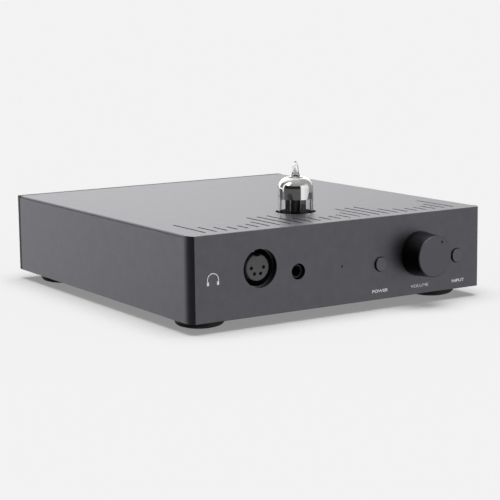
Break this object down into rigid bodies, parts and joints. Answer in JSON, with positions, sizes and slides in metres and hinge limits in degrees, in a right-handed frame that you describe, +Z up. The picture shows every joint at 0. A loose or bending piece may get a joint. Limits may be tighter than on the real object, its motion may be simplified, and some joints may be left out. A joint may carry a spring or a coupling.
{
  "type": "desktop dac",
  "caption": "Desktop headphone amplifier and DAC: low dark metal case with vent slots, a glass valve standing through the top, balanced and jack outputs, volume knob and push buttons.",
  "frame": {"origin": "centre of the bounding box bottom, on the surface that the feet stand on", "axes": "+Z up, front face towards -Y, +X to the right seen from the front"},
  "size_m": [0.215, 0.2574, 0.0891],
  "materials": {
    "case": "dark grey anodised, fine bead-blasted satin",
    "case_dark": "black anodised, fine bead-blasted satin",
    "case_trim": "dark grey anodised, turned",
    "base_metal": "plain mill finish",
    "steel_screw": "black oxide",
    "bright_steel": "zinc plated",
    "brass_gold": "gold plated",
    "foot_rubber": "matte",
    "foot_plastic": "fine satin",
    "connector_black": "moulded",
    "connector_metal": "black satin",
    "insert_grey": "moulded",
    "nickel": "plated",
    "board": "solder mask",
    "chip_black": "moulded epoxy",
    "capacitor_sleeve": "shrink sleeve",
    "film_box": "moulded",
    "relay_case": "moulded",
    "ferrite": "enamelled winding",
    "led_lens": "clear",
    "valve_glass": "clear blown glass, silvered dome",
    "valve_metal": "carbonised grey",
    "valve_mica": "mica sheet",
    "ceramic": "glazed"
  },
  "bodies": {
    "case": {"front_panel": "case", "top_cover": "case", "rear_panel": "case_dark", "bottom_plate": "case", "corner_blocks": "base_metal", "front_panel_screws": "bright_steel", "rear_panel_screws": "steel_screw", "bottom_screws": "steel_screw", "feet": "foot_plastic", "foot_pads": "foot_rubber", "foot_screws": "bright_steel", "pot_body": "connector_black", "pot_nut": "nickel", "pot_washer": "nickel", "power_switch": "connector_black", "input_switch": "connector_black", "led": "led_lens", "light_pipe": "led_lens", "control_board": "board", "xlr_shell": "connector_metal", "xlr_insert": "insert_grey", "xlr_contacts": "brass_gold", "xlr_screws": "bright_steel", "jack_body": "connector_black", "jack_pins": "nickel", "headphone_board": "board", "valve_socket": "ceramic", "valve_socket_contacts": "brass_gold", "valve_board": "board", "main_board": "board", "dac_board": "board", "board_spacers": "nickel", "board_screws": "bright_steel", "chips": "chip_black", "filter_capacitors": "capacitor_sleeve", "film_capacitors": "film_box", "heat_sinks": "base_metal", "power_transistors": "chip_black", "relays": "relay_case", "inductors": "ferrite", "rca_shells": "brass_gold", "rca_insulators": "connector_black", "rca_contacts": "brass_gold", "rca_housings": "connector_black", "dc_inlet": "connector_black", "usb_socket": "nickel"},
    "knob": {"volume_knob": "case_trim", "knob_set_screw": "steel_screw", "pot_shaft": "brass_gold"},
    "power_button": {"power_button_cap": "case_trim", "power_plunger": "connector_black"},
    "input_button": {"input_button_cap": "case_trim", "input_plunger": "connector_black"},
    "valve": {"valve_envelope": "valve_glass", "valve_pins": "nickel", "valve_anodes": "valve_metal", "valve_cathodes": "nickel", "valve_support_rods": "nickel", "valve_micas": "valve_mica", "valve_getter": "nickel"}
  },
  "joints": [
    {"name": "volume_turn", "type": "hinge", "parent": "case", "child": "knob", "pos_m": [0.0574, -0.11325, 0.032], "axis": [0, 1, 0], "range_deg": [-181, 119]},
    {"name": "power_press", "type": "slide", "parent": "case", "child": "power_button", "axis": [0, 1, 0], "range_m": [0, 0.0025], "stiffness_N_per_m": 800},
    {"name": "input_press", "type": "slide", "parent": "case", "child": "input_button", "axis": [0, 1, 0], "range_m": [0, 0.0012], "stiffness_N_per_m": 1500},
    {"name": "valve_lift", "type": "slide", "parent": "case", "child": "valve", "axis": [0, 0, 1], "range_m": [0, 0.06]}
  ]
}
